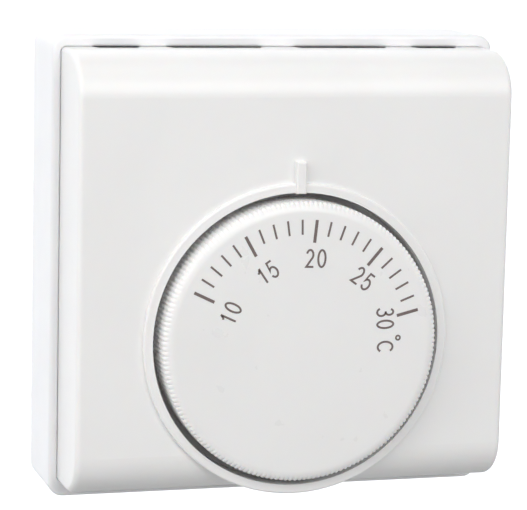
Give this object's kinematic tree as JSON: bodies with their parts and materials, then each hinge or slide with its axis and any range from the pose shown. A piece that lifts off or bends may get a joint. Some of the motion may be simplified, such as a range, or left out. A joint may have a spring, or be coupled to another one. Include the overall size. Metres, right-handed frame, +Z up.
{
  "type": "wall thermostat",
  "caption": "Square wall thermostat with a turning dial that has a temperature scale, set in a raised ring on a cover with rounded top and bottom edges.",
  "frame": {"origin": "middle of the flat rear face that lies on the wall", "axes": "+X to the right seen from the front, +Y into the wall, +Z up"},
  "size_m": [0.084, 0.0377, 0.0852],
  "materials": {
    "case_plastic": "fine satin moulding",
    "cover_plastic": "semi-gloss moulding",
    "dial_plastic": "semi-gloss moulding",
    "screw_steel": "zinc plated",
    "spring_steel": "bright spring steel",
    "turned_steel": "turned",
    "frame_steel": "zinc plated sheet",
    "brass": "machined",
    "strip_brass": "stamped",
    "cam_plastic": "natural acetal",
    "carrier_plastic": "glass filled nylon",
    "capsule_metal": "pressed and soldered",
    "copper": "copper alloy",
    "silver": "silver alloy",
    "switch_plastic": "phenolic moulding",
    "terminal_plastic": "polyamide moulding",
    "resistor_body": "lacquered",
    "tinned_wire": "tinned copper wire"
  },
  "bodies": {
    "housing": {"rear_housing": "case_plastic", "mechanism_frame": "frame_steel", "frame_screws": "screw_steel", "stop_pins": "turned_steel", "guide_pins": "turned_steel", "return_springs": "spring_steel", "spindle_bush": "brass", "switch_case": "switch_plastic", "switch_lid": "switch_plastic", "switch_screws": "screw_steel", "live_strip": "strip_brass", "load_strip": "strip_brass", "neutral_strip": "strip_brass", "fixed_contact": "silver", "snap_spring": "copper", "terminal_block": "terminal_plastic", "terminal_cages": "brass", "terminal_screws": "brass", "terminal_block_screws": "screw_steel", "accelerator_resistor": "resistor_body", "resistor_leads": "tinned_wire"},
    "dial_spindle": {"spindle": "turned_steel", "spindle_clip": "spring_steel", "thrust_washer": "spring_steel", "setting_cam": "cam_plastic"},
    "dial": {"setting_knob": "dial_plastic", "knob_spring_leaf": "spring_steel"},
    "cover": {"front_cover": "cover_plastic", "cover_screws": "screw_steel"},
    "carrier": {"capsule_carrier": "carrier_plastic", "capsule_lid": "capsule_metal", "capsule_diaphragm": "capsule_metal", "capsule_cup": "capsule_metal", "capsule_rivet": "turned_steel", "fill_tube": "copper"},
    "push_train": {"push_pin": "turned_steel", "switch_plunger": "switch_plastic"},
    "contact_arm": {"contact_arm": "copper", "moving_contact": "silver"}
  },
  "joints": [
    {"name": "dial_turn", "type": "hinge", "parent": "housing", "child": "dial_spindle", "pos_m": [0, -0.03, -0.0112], "axis": [0, -1, 0], "range_deg": [-63, 77]},
    {"name": "knob_pull", "type": "slide", "parent": "dial_spindle", "child": "dial", "axis": [0, -1, 0], "range_m": [0, 0.045]},
    {"name": "cover_off", "type": "slide", "parent": "housing", "child": "cover", "axis": [0, -1, 0], "range_m": [0, 0.03]},
    {"name": "carrier_slide", "type": "slide", "parent": "housing", "child": "carrier", "axis": [0, 1, 0], "range_m": [-0.00056, 0.00046], "deforming": ["return_springs"]},
    {"name": "sensor_stroke", "type": "slide", "parent": "carrier", "child": "push_train", "axis": [0, 1, 0], "range_m": [0, 0.0005], "stiffness_N_per_m": 300, "deforming": ["snap_spring", "capsule_diaphragm"]},
    {"name": "contact_throw", "type": "hinge", "parent": "housing", "child": "contact_arm", "pos_m": [0.009, -0.00685, -0.0112], "axis": [0, 0, 1], "range_deg": [-1.6, 0]}
  ],
  "couplings": [
    {"joint": "cover_off", "follows": "knob_pull", "ratio": 0.66},
    {"joint": "carrier_slide", "follows": "dial_turn", "m_per_rad": -0.00040926},
    {"joint": "contact_throw", "follows": "sensor_stroke", "rad_per_m": -52}
  ]
}
